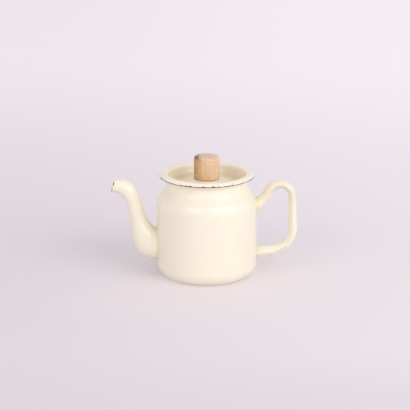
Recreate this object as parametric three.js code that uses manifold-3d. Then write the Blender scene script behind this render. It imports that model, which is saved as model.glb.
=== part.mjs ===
// Small enamelled steel teapot with a gooseneck spout, a hollow strap handle
// and a dished lid that lifts off by a turned wooden knob.
// Lengths are millimetres and +Z is up. The origin is the centre of the flat base,
// the spout points along -X and the handle along +X.

import * as THREE from "three";
import { mergeVertices } from "three/addons/utils/BufferGeometryUtils.js";
import Module from "manifold-3d";

const wasm = await Module();
wasm.setup();

const degrees = THREE.MathUtils.degToRad;

// Body: one drawn steel shell, enamelled on both faces, with a rolled bead round its mouth
const BODY_R = 50;
const SHELL_WALL = 1;
const BASE_BEND_R = 13.35;
const SHOULDER_Z = 71.2;
const SHOULDER_BEND_R = 20;
const SHOULDER_TURN = degrees(36);
const NECK_DRAW = 9.6;
const NECK_BEND_R = 12;
const NECK_LAND = 5.9;
const BEAD_R = 1.5;

// Strainer: rings of holes round one hole, pierced in the wall behind the spout
const STRAINER_HOLE_R = 1.3;
const STRAINER_PITCH = 4;
const STRAINER_RINGS = 2;
const STRAINER_RING_HOLES = 5;

// Spout: two pressed halves, seamed along the middle plane and welded over the strainer
const SPOUT_REACH = 45;
const SPOUT_RISE = 83;
const SPOUT_FOOT_Z = 15;
const SPOUT_WALL = 1;
const SPOUT_ROOT_HALF_WIDTH = 15;
const SPOUT_TIP_HALF_WIDTH = 6.3;

// Edges of the spout seen from the side, as shares of its reach from the body wall
// and of its rise above its foot: throat reach, throat rise, back reach, back rise
const spoutEdgeShares = [
  [-0.09, 0.392, -0.09, 0.0],
  [0.022, 0.4, 0.022, 0.002],
  [0.045, 0.404, 0.278, 0.042],
  [0.076, 0.418, 0.467, 0.147],
  [0.124, 0.445, 0.553, 0.313],
  [0.198, 0.506, 0.587, 0.458],
  [0.264, 0.602, 0.609, 0.564],
  [0.331, 0.741, 0.658, 0.683],
  [0.422, 0.864, 0.727, 0.764],
  [0.569, 0.959, 0.8, 0.81],
  [0.742, 0.999, 0.871, 0.834],
  [0.927, 0.994, 1.0, 0.841],
];

// Half width of the spout along its length, as shares of the way from tip to root
const spoutWidthShares = [1.0, 0.98, 0.92, 0.78, 0.57, 0.36, 0.22, 0.18, 0.2, 0.2, 0.12, 0.0];

// Handle: an outer and an inner pressed channel, seamed along both sides
const HANDLE_ROOT_DROP = 0.7;
const HANDLE_FOOT_Z = 22.4;
const HANDLE_ROOT_RISE = degrees(30);
const HANDLE_SWEEP_TURN = degrees(30);
const HANDLE_SWEEP_R = 33.8;
const HANDLE_NECK_RUN = 5;
const HANDLE_CROWN_TURN = degrees(141);
const HANDLE_CROWN_R = 11.8;
const HANDLE_SHOULDER_TURN = degrees(7.5);
const HANDLE_SHOULDER_R = 51;
const HANDLE_CURL_TURN = degrees(18);
const HANDLE_CURL_R = 29;
const HANDLE_HEEL_TURN = degrees(68);
const HANDLE_HEEL_R = 21.8;
const HANDLE_BURIED = 2;
const HANDLE_HALF_WIDTH = 6;
const HANDLE_PEAK_POWER = 1.5;
const HANDLE_HALF_DEPTH = 4.5;
const HANDLE_WALL = 1;
const HANDLE_FLARE = 1.3;
const HANDLE_FLARE_LENGTH = 11;

// Half depth of the handle along its length, as shares of its named half depth
const handleDepthShares = [1.18, 1.17, 1.08, 0.95, 0.84, 0.93, 1.01, 0.98, 0.93, 1.08, 1.13, 1.0];

// Lid: a pressed dish whose crest rides on the mouth bead and whose well drops into the neck
const LID_WALL = 1;
const LID_SEAT_GAP = 0.3;
const BRIM_REACH = 6.1;
const BRIM_TURN = degrees(40);
const WELL_TAPER = degrees(5);
const WELL_DEPTH = 10;
const WELL_BEND_R = 4;
const KNOB_SEAT_RISE = 4.1;
const KNOB_SEAT_MARGIN = 1;
const KNOB_SEAT_BEND_R = 6;
const LID_VENT_R = 1.3;
const LID_VENT_SHARE = 0.4;

// Knob: turned wood on a threaded brass insert, held from below by a screw and two washers
const KNOB_R = 12.7;
const KNOB_HEIGHT = 22.6;
const KNOB_CROWN = 0.25;
const KNOB_TOP_ROUND = 2.3;
const KNOB_FOOT_ROUND = 1.3;
const INSERT_R = 3;
const INSERT_LENGTH = 10;
const INSERT_RECESS = 0.4;
const INSERT_FIT = 0.1;
const INSERT_FLANGE_R = 4;
const INSERT_FLANGE = 0.8;
const INSERT_RUNOUT = 1;
const SCREW_R = 2;
const SCREW_REACH_SHARE = 0.6;
const SCREW_HEAD_R = 4;
const SCREW_HEAD = 2;
const SCREW_HEAD_ROUND = 0.8;
const SCREW_SLOT_WIDTH = 1;
const SCREW_SLOT_DEPTH = 0.9;
const SCREW_HOLE_GAP = 0.3;
const THREAD_GAP = 0.15;
const WASHER_R = 5.5;
const WASHER_THICK = 0.8;
const SEAL_R = 6.5;
const SEAL_THICK = 1;

// Fits shared by the whole pot
const WELD_GAP = 0.3;
const CUT_OVERRUN = 5;
const MERGE_DISTANCE = 0.0001;

// Fineness of the facets
const AROUND = 48;
const KNOB_AROUND = 36;
const SMALL_AROUND = 20;
const BEND_STEP = degrees(15);
const ROUND_STEP = degrees(29);
const SPOUT_STEPS = 24;
const SPOUT_HALF_SIDES = 9;
const HANDLE_HALF_SIDES = 7;
const HOLE_SIDES = 8;

// Enamel, bare steel, brass, wood and silicone rubber as they look
function enamel() {
  return new THREE.MeshStandardMaterial({ color: 0xfbefdf, roughness: 0.18, metalness: 0 });
}

function wood() {
  return new THREE.MeshStandardMaterial({ color: 0xd9a878, roughness: 0.6, metalness: 0 });
}

function brass() {
  return new THREE.MeshStandardMaterial({ color: 0xc9a14e, roughness: 0.35, metalness: 1 });
}

function steel() {
  return new THREE.MeshStandardMaterial({ color: 0xb9bcbf, roughness: 0.3, metalness: 1 });
}

function silicone() {
  return new THREE.MeshStandardMaterial({ color: 0xe9e6e0, roughness: 0.7, metalness: 0 });
}

// Straight runs and bends are walked as a chain of legs. A positive turn is to the left.
function run(length) {
  return { length, turn: 0, radius: 0 };
}

function bend(turn, radius) {
  return { length: Math.abs(turn) * radius, turn, radius };
}

// Walks the legs and notes, at each step, the place, the heading and the distance covered
function walk(start, heading, legs) {
  const marks = [{ place: start.clone(), heading, along: 0 }];
  let place = start.clone();
  let along = 0;
  for (const leg of legs) {
    const steps = Math.max(1, Math.ceil(Math.abs(leg.turn) / BEND_STEP));
    const chord = leg.turn === 0 ? leg.length : 2 * leg.radius * Math.sin(Math.abs(leg.turn) / steps / 2);
    for (let step = 0; step < steps; step += 1) {
      heading += leg.turn / steps / 2;
      const forward = new THREE.Vector2(Math.cos(heading), Math.sin(heading));
      place = place.clone().addScaledVector(forward, chord);
      heading += leg.turn / steps / 2;
      along += leg.length / steps;
      marks.push({ place, heading, along });
    }
  }
  return marks;
}

// The walked line, moved sideways to the left of its heading
function aside(marks, distance) {
  return marks.map(({ place, heading }) => {
    const left = new THREE.Vector2(-Math.sin(heading), Math.cos(heading));
    return place.clone().addScaledVector(left, distance);
  });
}

// Points of an arc about a centre, both ends included
function arc(centre, radius, from, to) {
  const steps = Math.ceil(Math.abs(to - from) / ROUND_STEP);
  return Array.from({ length: steps + 1 }, (_, step) => {
    const angle = from + ((to - from) * step) / steps;
    return new THREE.Vector2(centre.x + radius * Math.cos(angle), centre.y + radius * Math.sin(angle));
  });
}

// Cosine and sine at each step of a half turn, with the sine exactly zero at both ends
function halfTurn(sides) {
  return Array.from({ length: sides + 1 }, (_, step) => {
    const angle = (Math.PI * step) / sides;
    return [Math.cos(angle), step % sides === 0 ? 0 : Math.sin(angle)];
  });
}

// Turns a closed outline of radius and height about the Z axis
function turned(outline, around) {
  const geometry = new THREE.LatheGeometry([...outline, outline[0]], around);
  return tidy(geometry.rotateX(Math.PI / 2));
}

// Keeps only positions, joins equal corners and drops triangles that have no area
function tidy(geometry) {
  geometry.deleteAttribute("normal");
  geometry.deleteAttribute("uv");
  const merged = mergeVertices(geometry, MERGE_DISTANCE);
  const old = merged.index.array;
  const kept = [];
  for (let corner = 0; corner < old.length; corner += 3) {
    const [a, b, c] = [old[corner], old[corner + 1], old[corner + 2]];
    if (a !== b && b !== c && c !== a) {
      kept.push(a, b, c);
    }
  }
  merged.setIndex(kept);
  return outward(merged);
}

// Turns the faces round if the enclosed volume comes out negative
function outward(geometry) {
  const place = geometry.getAttribute("position");
  const index = Array.from(geometry.index.array);
  const [a, b, c] = [new THREE.Vector3(), new THREE.Vector3(), new THREE.Vector3()];
  let volume = 0;
  for (let corner = 0; corner < index.length; corner += 3) {
    a.fromBufferAttribute(place, index[corner]);
    b.fromBufferAttribute(place, index[corner + 1]);
    c.fromBufferAttribute(place, index[corner + 2]);
    volume += a.dot(b.cross(c));
  }
  if (volume < 0) {
    index.reverse();
    geometry.setIndex(index);
  }
  return geometry;
}

// Skins a chain of wall sections. Each section runs out along one face of the wall
// and back along the other, with as many points each way.
function skinned(sections) {
  const count = sections[0].length;
  const last = sections.length - 1;
  const places = sections.flat().flatMap((point) => [point.x, point.y, point.z]);
  const index = [];
  const quad = (a, b, c, d) => index.push(a, b, c, a, c, d);
  for (let row = 0; row < last; row += 1) {
    for (let point = 0; point < count; point += 1) {
      const next = (point + 1) % count;
      quad(row * count + point, row * count + next, (row + 1) * count + next, (row + 1) * count + point);
    }
  }
  for (let point = 0; point < count / 2 - 1; point += 1) {
    const facing = count - 1 - point;
    quad(point, facing, facing - 1, point + 1);
    const end = last * count;
    quad(end + point, end + point + 1, end + facing - 1, end + facing);
  }
  const geometry = new THREE.BufferGeometry();
  geometry.setAttribute("position", new THREE.Float32BufferAttribute(places, 3));
  geometry.setIndex(index);
  return outward(geometry);
}

// Solids for cutting, from and back to geometries
function toSolid(geometry) {
  const mesh = new wasm.Mesh({
    numProp: 3,
    vertProperties: new Float32Array(geometry.getAttribute("position").array),
    triVerts: new Uint32Array(geometry.index.array),
  });
  return new wasm.Manifold(mesh);
}

function toGeometry(solid) {
  const mesh = solid.getMesh();
  const geometry = new THREE.BufferGeometry();
  geometry.setAttribute("position", new THREE.BufferAttribute(mesh.vertProperties, 3));
  geometry.setIndex(new THREE.BufferAttribute(mesh.triVerts, 1));
  return geometry;
}

function cutAway(geometry, cutters) {
  let solid = toSolid(geometry);
  for (const cutter of cutters) {
    solid = solid.subtract(toSolid(cutter));
  }
  return toGeometry(solid);
}

// A named piece with facet shading
function piece(name, geometry, material) {
  const faceted = geometry.index ? geometry.toNonIndexed() : geometry;
  faceted.computeVertexNormals();
  const mesh = new THREE.Mesh(faceted, material);
  mesh.name = name;
  return mesh;
}

// The neck's hollow bend brings the shoulder's slope back to upright where the neck is drawn in to
const neckR = BODY_R - NECK_DRAW;
const neckBendsR = SHOULDER_BEND_R + NECK_BEND_R;
const coneDraw = NECK_DRAW - neckBendsR * (1 - Math.cos(SHOULDER_TURN));
const coneRun = coneDraw / Math.sin(SHOULDER_TURN);
const neckTopZ = SHOULDER_Z + neckBendsR * Math.sin(SHOULDER_TURN) + coneRun * Math.cos(SHOULDER_TURN);
const beadCentre = new THREE.Vector2(neckR - SHELL_WALL + BEAD_R, neckTopZ + NECK_LAND + BEAD_R);

// Outside line of the shell, from the middle of the base up to the bead
function shellMarks() {
  const beadFootAngle = Math.acos((SHELL_WALL - BEAD_R) / BEAD_R);
  const beadFootZ = beadCentre.y - BEAD_R * Math.sin(beadFootAngle);
  return walk(new THREE.Vector2(0, 0), 0, [
    run(BODY_R - BASE_BEND_R),
    bend(Math.PI / 2, BASE_BEND_R),
    run(SHOULDER_Z - BASE_BEND_R),
    bend(SHOULDER_TURN, SHOULDER_BEND_R),
    run(coneRun),
    bend(-SHOULDER_TURN, NECK_BEND_R),
    run(beadFootZ - neckTopZ),
  ]);
}

// The shell's outside filled solid and grown by the weld gap, to fit what is welded on
function shellCutter() {
  const grown = aside(shellMarks(), -WELD_GAP);
  const top = grown[grown.length - 1];
  return turned([...grown, new THREE.Vector2(0, top.y)], AROUND);
}

function strainerHole(y, z) {
  const length = 2 * CUT_OVERRUN + SHELL_WALL;
  const hole = new THREE.CylinderGeometry(STRAINER_HOLE_R, STRAINER_HOLE_R, length, HOLE_SIDES);
  hole.rotateZ(Math.PI / 2).translate(-BODY_R, y, z);
  return tidy(hole);
}

// One middle hole and rings of holes about the spout's root, each ring with more holes
function strainerHoles() {
  const z = spoutRootZ();
  const holes = [strainerHole(0, z)];
  for (let ring = 1; ring <= STRAINER_RINGS; ring += 1) {
    const count = ring * STRAINER_RING_HOLES;
    const reach = ring * STRAINER_PITCH;
    for (let hole = 0; hole < count; hole += 1) {
      const angle = (2 * Math.PI * hole) / count;
      holes.push(strainerHole(reach * Math.cos(angle), z + reach * Math.sin(angle)));
    }
  }
  return holes;
}

function bodyShell() {
  const marks = shellMarks();
  const outside = aside(marks, 0);
  const inside = aside(marks, SHELL_WALL).reverse();
  const beadFootAngle = Math.acos((SHELL_WALL - BEAD_R) / BEAD_R);
  const bead = arc(beadCentre, BEAD_R, -beadFootAngle, Math.PI);
  const outline = [...outside.slice(0, -1), ...bead, ...inside];
  return cutAway(turned(outline, AROUND), strainerHoles());
}

// A point of the spout's side view from its shares of reach and rise
function spoutPoint(reachShare, riseShare) {
  const x = -BODY_R - SPOUT_REACH * reachShare;
  const z = SPOUT_FOOT_Z + SPOUT_RISE * riseShare;
  return new THREE.Vector3(x, 0, z);
}

function spoutRootZ() {
  const [, throatShare, , backShare] = spoutEdgeShares[0];
  return SPOUT_FOOT_Z + (SPOUT_RISE * (throatShare + backShare)) / 2;
}

// A smooth value from a row of shares, at a share of the way along it
function blended(shares, along) {
  const points = shares.map((share) => new THREE.Vector2(0, share));
  return new THREE.SplineCurve(points).getPoint(along).y;
}

// Half of the spout's section between its throat and its back, on one side of the seam
function spoutSection(throat, back, halfWidth, side) {
  const centre = throat.clone().add(back).multiplyScalar(1 / 2);
  const towardThroat = throat.clone().sub(centre);
  const depth = towardThroat.length();
  towardThroat.normalize();
  const ring = (inset) =>
    halfTurn(SPOUT_HALF_SIDES).map(([across, out]) => {
      const point = centre.clone().addScaledVector(towardThroat, (depth - inset) * across);
      point.y = side * (halfWidth - inset) * out;
      return point;
    });
  return [...ring(0), ...ring(SPOUT_WALL).reverse()];
}

function spoutHalf(side) {
  const throatLine = spoutEdgeShares.map(([reach, rise]) => spoutPoint(reach, rise));
  const backLine = spoutEdgeShares.map(([, , reach, rise]) => spoutPoint(reach, rise));
  const throat = new THREE.CatmullRomCurve3(throatLine, false, "catmullrom");
  const back = new THREE.CatmullRomCurve3(backLine, false, "catmullrom");
  const sections = Array.from({ length: SPOUT_STEPS + 1 }, (_, step) => {
    const along = step / SPOUT_STEPS;
    const share = blended(spoutWidthShares, along);
    const halfWidth = THREE.MathUtils.lerp(SPOUT_TIP_HALF_WIDTH, SPOUT_ROOT_HALF_WIDTH, share);
    return spoutSection(throat.getPoint(along), back.getPoint(along), halfWidth, side);
  });
  return cutAway(skinned(sections), [shellCutter()]);
}

// Legs of the handle's middle line, with its two straight runs left open
function handleLegs(gripRun, footRun) {
  return [
    bend(HANDLE_SWEEP_TURN, HANDLE_SWEEP_R),
    run(HANDLE_NECK_RUN),
    bend(-HANDLE_CROWN_TURN, HANDLE_CROWN_R),
    bend(-HANDLE_SHOULDER_TURN, HANDLE_SHOULDER_R),
    run(gripRun),
    bend(-HANDLE_CURL_TURN, HANDLE_CURL_R),
    bend(-HANDLE_HEEL_TURN, HANDLE_HEEL_R),
    run(footRun),
  ];
}

// Middle line of the handle in the X and Z plane, from its upper root round to its foot.
// The grip and the foot run are as long as it takes to come back to the wall at the foot.
function handleMarks() {
  const root = new THREE.Vector2(BODY_R - HANDLE_BURIED, SHOULDER_Z - HANDLE_ROOT_DROP);
  const foot = new THREE.Vector2(BODY_R - HANDLE_BURIED, HANDLE_FOOT_Z);
  const bendsOnly = walk(root, HANDLE_ROOT_RISE, handleLegs(0, 0)).pop();
  const missing = foot.sub(bendsOnly.place);
  const footHeading = bendsOnly.heading;
  const gripHeading = footHeading + HANDLE_CURL_TURN + HANDLE_HEEL_TURN;
  const grip = new THREE.Vector2(Math.cos(gripHeading), Math.sin(gripHeading));
  const back = new THREE.Vector2(Math.cos(footHeading), Math.sin(footHeading));
  const gripRun = missing.cross(back) / grip.cross(back);
  const footRun = missing.cross(grip) / back.cross(grip);
  return walk(root, HANDLE_ROOT_RISE, handleLegs(gripRun, footRun));
}

// Section of one channel: side 1 is the outer channel, side -1 the inner one
function handleSection(mark, length, side) {
  const toEnd = Math.min(mark.along, length - mark.along);
  const flare = HANDLE_FLARE * Math.max(0, 1 - toEnd / HANDLE_FLARE_LENGTH) ** 2;
  const halfDepth = HANDLE_HALF_DEPTH * blended(handleDepthShares, mark.along / length) + flare;
  const halfWidth = HANDLE_HALF_WIDTH + flare;
  const away = new THREE.Vector3(-Math.sin(mark.heading), 0, Math.cos(mark.heading)).multiplyScalar(side);
  const centre = new THREE.Vector3(mark.place.x, 0, mark.place.y);
  const ring = (inset) =>
    halfTurn(HANDLE_HALF_SIDES).map(([across, out]) => {
      const point = centre.clone().addScaledVector(away, (halfDepth - inset) * out ** HANDLE_PEAK_POWER);
      point.y = (halfWidth - inset) * across;
      return point;
    });
  return [...ring(0), ...ring(HANDLE_WALL).reverse()];
}

function handleHalf(side) {
  const marks = handleMarks();
  const length = marks[marks.length - 1].along;
  const sections = marks.map((mark) => handleSection(mark, length, side));
  return cutAway(skinned(sections), [shellCutter()]);
}

// The lid is drawn with its origin at the height of the mouth bead's centre
const crestR = BEAD_R + LID_SEAT_GAP + LID_WALL;
const wellFloorZ = crestR - WELL_DEPTH;
const knobSeatZ = wellFloorZ + KNOB_SEAT_RISE;
const knobSeatR = KNOB_R + KNOB_SEAT_MARGIN;
const screwHoleR = SCREW_R + SCREW_HOLE_GAP;

// Centre of the bend at the bottom of the well, tangent to the floor and to the tapered wall
function wellBendCentre() {
  const wallHeading = Math.PI / 2 - WELL_TAPER;
  const crestFoot = new THREE.Vector2(
    beadCentre.x - crestR * Math.sin(wallHeading),
    crestR * Math.cos(wallHeading),
  );
  const z = wellFloorZ + WELL_BEND_R;
  const wallRun = (crestFoot.y + WELL_BEND_R * Math.cos(wallHeading) - z) / Math.sin(wallHeading);
  const r = crestFoot.x - wallRun * Math.cos(wallHeading) - WELL_BEND_R * Math.sin(wallHeading);
  return { centre: new THREE.Vector2(r, z), wallRun };
}

// Slope and length of the floor that falls from the knob seat into the well's bend
function wellFloor(bendCentre) {
  const seatBendCentre = new THREE.Vector2(knobSeatR, knobSeatZ - KNOB_SEAT_BEND_R);
  const between = bendCentre.clone().sub(seatBendCentre);
  const radii = KNOB_SEAT_BEND_R + WELL_BEND_R;
  const fall = Math.asin(radii / between.length()) - between.angle();
  const floorRun = Math.sqrt(between.lengthSq() - radii ** 2);
  return { fall, floorRun };
}

// Upper line of the lid from the screw hole to the brim's edge
function lidMarks() {
  const { centre, wallRun } = wellBendCentre();
  const { fall, floorRun } = wellFloor(centre);
  const wallHeading = Math.PI / 2 - WELL_TAPER;
  const brimBendR = BRIM_REACH / Math.sin(BRIM_TURN);
  return walk(new THREE.Vector2(screwHoleR, knobSeatZ), 0, [
    run(knobSeatR - screwHoleR),
    bend(-fall, KNOB_SEAT_BEND_R),
    run(floorRun),
    bend(fall + wallHeading, WELL_BEND_R),
    run(wallRun),
    bend(-wallHeading, crestR),
    bend(-BRIM_TURN, brimBendR),
  ]);
}

// A round edge joins the upper and the under face at the brim
function brimEdge(marks) {
  const end = aside(marks.slice(-1), -LID_WALL / 2)[0];
  const edge = arc(end, LID_WALL / 2, Math.PI / 2 - BRIM_TURN, -Math.PI / 2 - BRIM_TURN);
  return edge.slice(1, -1);
}

// The vent lies behind the knob, on the falling floor
function lidVent() {
  const length = 2 * CUT_OVERRUN + LID_WALL;
  const r = THREE.MathUtils.lerp(knobSeatR, wellBendCentre().centre.x, LID_VENT_SHARE);
  const vent = new THREE.CylinderGeometry(LID_VENT_R, LID_VENT_R, length, HOLE_SIDES);
  vent.rotateX(Math.PI / 2).translate(0, r, wellFloorZ);
  return tidy(vent);
}

function lidDish() {
  const marks = lidMarks();
  const under = aside(marks, -LID_WALL).reverse();
  const outline = [...aside(marks, 0), ...brimEdge(marks), ...under];
  return cutAway(turned(outline, AROUND), [lidVent()]);
}

// Knob: slightly barrelled side between two rounded edges, bored from below for its insert
function knob() {
  const boreR = INSERT_R + INSERT_FIT;
  const flangeR = INSERT_FLANGE_R + INSERT_FIT;
  const flangeTop = INSERT_RECESS + INSERT_FLANGE + INSERT_FIT;
  const boreTop = INSERT_RECESS + INSERT_LENGTH + INSERT_RUNOUT;
  const sideR = KNOB_R - KNOB_CROWN;
  const foot = new THREE.Vector2(sideR - KNOB_FOOT_ROUND, KNOB_FOOT_ROUND);
  const top = new THREE.Vector2(sideR - KNOB_TOP_ROUND, KNOB_HEIGHT - KNOB_TOP_ROUND);
  const outline = [
    new THREE.Vector2(flangeR, 0),
    ...arc(foot, KNOB_FOOT_ROUND, -Math.PI / 2, 0),
    new THREE.Vector2(KNOB_R, KNOB_HEIGHT / 2),
    ...arc(top, KNOB_TOP_ROUND, 0, Math.PI / 2),
    new THREE.Vector2(0, KNOB_HEIGHT),
    new THREE.Vector2(0, boreTop),
    new THREE.Vector2(boreR, boreTop),
    new THREE.Vector2(boreR, flangeTop),
    new THREE.Vector2(flangeR, flangeTop),
  ];
  return turned(outline, KNOB_AROUND);
}

function ringOutline(innerR, outerR, low, high) {
  return [
    new THREE.Vector2(innerR, low),
    new THREE.Vector2(outerR, low),
    new THREE.Vector2(outerR, high),
    new THREE.Vector2(innerR, high),
  ];
}

function knobInsert() {
  const boreR = SCREW_R + THREAD_GAP;
  const flangeTop = INSERT_RECESS + INSERT_FLANGE;
  const outline = [
    new THREE.Vector2(boreR, INSERT_RECESS),
    new THREE.Vector2(INSERT_FLANGE_R, INSERT_RECESS),
    new THREE.Vector2(INSERT_FLANGE_R, flangeTop),
    new THREE.Vector2(INSERT_R, flangeTop),
    new THREE.Vector2(INSERT_R, INSERT_RECESS + INSERT_LENGTH),
    new THREE.Vector2(boreR, INSERT_RECESS + INSERT_LENGTH),
  ];
  return turned(outline, SMALL_AROUND);
}

function washer(outerR, thick) {
  return turned(ringOutline(screwHoleR, outerR, 0, thick), SMALL_AROUND);
}

// Slotted screw, drawn with the bearing face of its head at zero height. It passes the
// washers and the lid and reaches part of the way up the insert.
function knobScrew() {
  const clamped = WASHER_THICK + SEAL_THICK + LID_WALL;
  const length = clamped + INSERT_RECESS + INSERT_LENGTH * SCREW_REACH_SHARE;
  const round = new THREE.Vector2(SCREW_HEAD_R - SCREW_HEAD_ROUND, SCREW_HEAD_ROUND - SCREW_HEAD);
  const outline = [
    new THREE.Vector2(0, -SCREW_HEAD),
    ...arc(round, SCREW_HEAD_ROUND, -Math.PI / 2, 0),
    new THREE.Vector2(SCREW_HEAD_R, 0),
    new THREE.Vector2(SCREW_R, 0),
    new THREE.Vector2(SCREW_R, length),
    new THREE.Vector2(0, length),
  ];
  const slotLength = 2 * (SCREW_HEAD_R + CUT_OVERRUN);
  const slot = new THREE.BoxGeometry(slotLength, SCREW_SLOT_WIDTH, 2 * SCREW_SLOT_DEPTH);
  slot.translate(0, 0, -SCREW_HEAD);
  return cutAway(turned(outline, SMALL_AROUND), [tidy(slot)]);
}

// The pot: everything that is welded together
function pot() {
  const group = new THREE.Group();
  group.add(piece("body_shell", bodyShell(), enamel()));
  group.add(piece("spout_near_half", spoutHalf(-1), enamel()));
  group.add(piece("spout_far_half", spoutHalf(1), enamel()));
  group.add(piece("handle_outer_half", handleHalf(1), enamel()));
  group.add(piece("handle_inner_half", handleHalf(-1), enamel()));
  return group;
}

// The lid with its knob and fasteners, stacked down from the knob seat
function lid() {
  const group = new THREE.Group();
  group.position.z = beadCentre.y;
  group.add(piece("lid_dish", lidDish(), enamel()));

  const knobGroup = new THREE.Group();
  knobGroup.position.z = knobSeatZ;
  knobGroup.add(piece("knob", knob(), wood()));
  knobGroup.add(piece("knob_insert", knobInsert(), brass()));
  group.add(knobGroup);

  const seal = piece("seal_washer", washer(SEAL_R, SEAL_THICK), silicone());
  seal.position.z = knobSeatZ - LID_WALL - SEAL_THICK;
  const plate = piece("screw_washer", washer(WASHER_R, WASHER_THICK), steel());
  plate.position.z = seal.position.z - WASHER_THICK;
  const screw = piece("knob_screw", knobScrew(), steel());
  screw.position.z = plate.position.z;
  group.add(seal, plate, screw);
  return group;
}

const teapot = new THREE.Group();
teapot.add(pot(), lid());

export default teapot;
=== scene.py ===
"""The looks of a small enamelled teapot with a gooseneck spout, a hollow loop handle
and a dished lift-off lid with a wooden knob. Metres, +Z up, spout along -X."""

import math
from collections import namedtuple

import bpy
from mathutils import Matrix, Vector


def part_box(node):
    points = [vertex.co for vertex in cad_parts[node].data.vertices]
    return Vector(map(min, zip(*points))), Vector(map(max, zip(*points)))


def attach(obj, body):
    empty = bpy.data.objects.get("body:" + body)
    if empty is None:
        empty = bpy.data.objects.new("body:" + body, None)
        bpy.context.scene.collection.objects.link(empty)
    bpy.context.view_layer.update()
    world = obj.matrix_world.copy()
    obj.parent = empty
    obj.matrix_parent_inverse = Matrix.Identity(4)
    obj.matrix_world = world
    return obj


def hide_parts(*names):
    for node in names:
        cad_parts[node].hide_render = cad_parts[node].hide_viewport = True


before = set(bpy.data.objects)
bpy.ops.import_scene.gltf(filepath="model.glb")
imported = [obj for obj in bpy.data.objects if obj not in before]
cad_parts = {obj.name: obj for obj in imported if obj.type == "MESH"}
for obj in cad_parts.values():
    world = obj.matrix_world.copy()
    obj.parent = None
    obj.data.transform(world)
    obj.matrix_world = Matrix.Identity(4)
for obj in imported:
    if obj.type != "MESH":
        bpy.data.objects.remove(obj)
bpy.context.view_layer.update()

MM = 0.001

# Sizes read from the frame
BODY_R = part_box("body_shell")[1].x
BEAD_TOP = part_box("body_shell")[1].z
KNOB_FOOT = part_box("knob")[0].z
KNOB_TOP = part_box("knob")[1].z
KNOB_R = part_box("knob")[1].x

# Shell
WALL = 1 * MM
BASE_BEND = 13.35 * MM
SHOULDER_Z = 71.2 * MM
SHOULDER_BEND = 20 * MM
SHOULDER_TURN = math.radians(36)
NECK_DRAW = 9.6 * MM
NECK_BEND = 12 * MM
NECK_R = BODY_R - NECK_DRAW
BEAD = 1.5 * MM
WELD_ROUND = 1.2 * MM
STRAINER_HOLE_R = 1.3 * MM
STRAINER_PITCH = 4 * MM
STRAINER_RINGS = 2
STRAINER_RING_HOLES = 5

# Spout, seen from the side. A row of edge shares holds the reach and rise of the throat, then
# of the back, from inside the wall to the mouth.
SPOUT_REACH = 45 * MM
SPOUT_RISE = 83 * MM
SPOUT_FOOT_Z = 15 * MM
SPOUT_ROOT_HALF_WIDTH = 15 * MM
SPOUT_TIP_HALF_WIDTH = 6.3 * MM
SPOUT_EDGE_SHARES = [
    (-0.09, 0.392, -0.09, 0.0),
    (0.022, 0.4, 0.022, 0.002),
    (0.045, 0.404, 0.278, 0.042),
    (0.076, 0.418, 0.467, 0.147),
    (0.124, 0.445, 0.553, 0.313),
    (0.198, 0.506, 0.587, 0.458),
    (0.264, 0.602, 0.609, 0.564),
    (0.331, 0.741, 0.658, 0.683),
    (0.422, 0.864, 0.727, 0.764),
    (0.569, 0.959, 0.8, 0.81),
    (0.742, 0.999, 0.871, 0.834),
    (0.927, 0.994, 1.0, 0.841),
]
SPOUT_WIDTH_SHARES = [1.0, 0.98, 0.92, 0.78, 0.57, 0.36, 0.22, 0.18, 0.2, 0.2, 0.12, 0.0]
SPOUT_RINGS = 64
SPOUT_SIDES = 64
SPOUT_ROOT_SHARE = 0.073
SPOUT_FREE_SHARE = 0.14

# Handle
HANDLE_ROOT_Z = SHOULDER_Z - 0.7 * MM
HANDLE_FOOT_Z = 22.4 * MM
HANDLE_ROOT_RISE = math.radians(30)
HANDLE_SWEEP_TURN = math.radians(30)
HANDLE_SWEEP_R = 33.8 * MM
HANDLE_NECK_RUN = 5 * MM
HANDLE_CROWN_TURN = math.radians(141)
HANDLE_CROWN_R = 11.8 * MM
HANDLE_SHOULDER_TURN = math.radians(7.5)
HANDLE_SHOULDER_R = 51 * MM
HANDLE_CURL_TURN = math.radians(18)
HANDLE_CURL_R = 29 * MM
HANDLE_HEEL_TURN = math.radians(68)
HANDLE_HEEL_R = 21.8 * MM
HANDLE_BURIED = 2 * MM
HANDLE_HALF_WIDTH = 6 * MM
HANDLE_HALF_DEPTH = 4.5 * MM
HANDLE_FLARE = 1.3 * MM
HANDLE_FLARE_LENGTH = 11 * MM
HANDLE_DEPTH_SHARES = [1.18, 1.17, 1.08, 0.95, 0.84, 0.93, 1.01, 0.98, 0.93, 1.08, 1.13, 1.0]
HANDLE_SIDES = 64
HANDLE_PEAK_POWER = 1.9
HANDLE_CLEAR = 0.3 * MM

# Lid, with heights counted from the centre of the mouth bead
SEAT_GAP = 0.3 * MM
BRIM_R = 47 * MM
BRIM_TURN = math.radians(40)
WELL_TAPER = math.radians(5)
WELL_DEPTH = 10 * MM
WELL_BEND = 4 * MM
KNOB_SEAT_RISE = 4.1 * MM
KNOB_SEAT_R = KNOB_R + 1 * MM
KNOB_SEAT_BEND = 6 * MM
SCREW_HOLE_R = 2.3 * MM
VENT_R = 1.3 * MM
VENT_SHARE = 0.4

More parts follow.
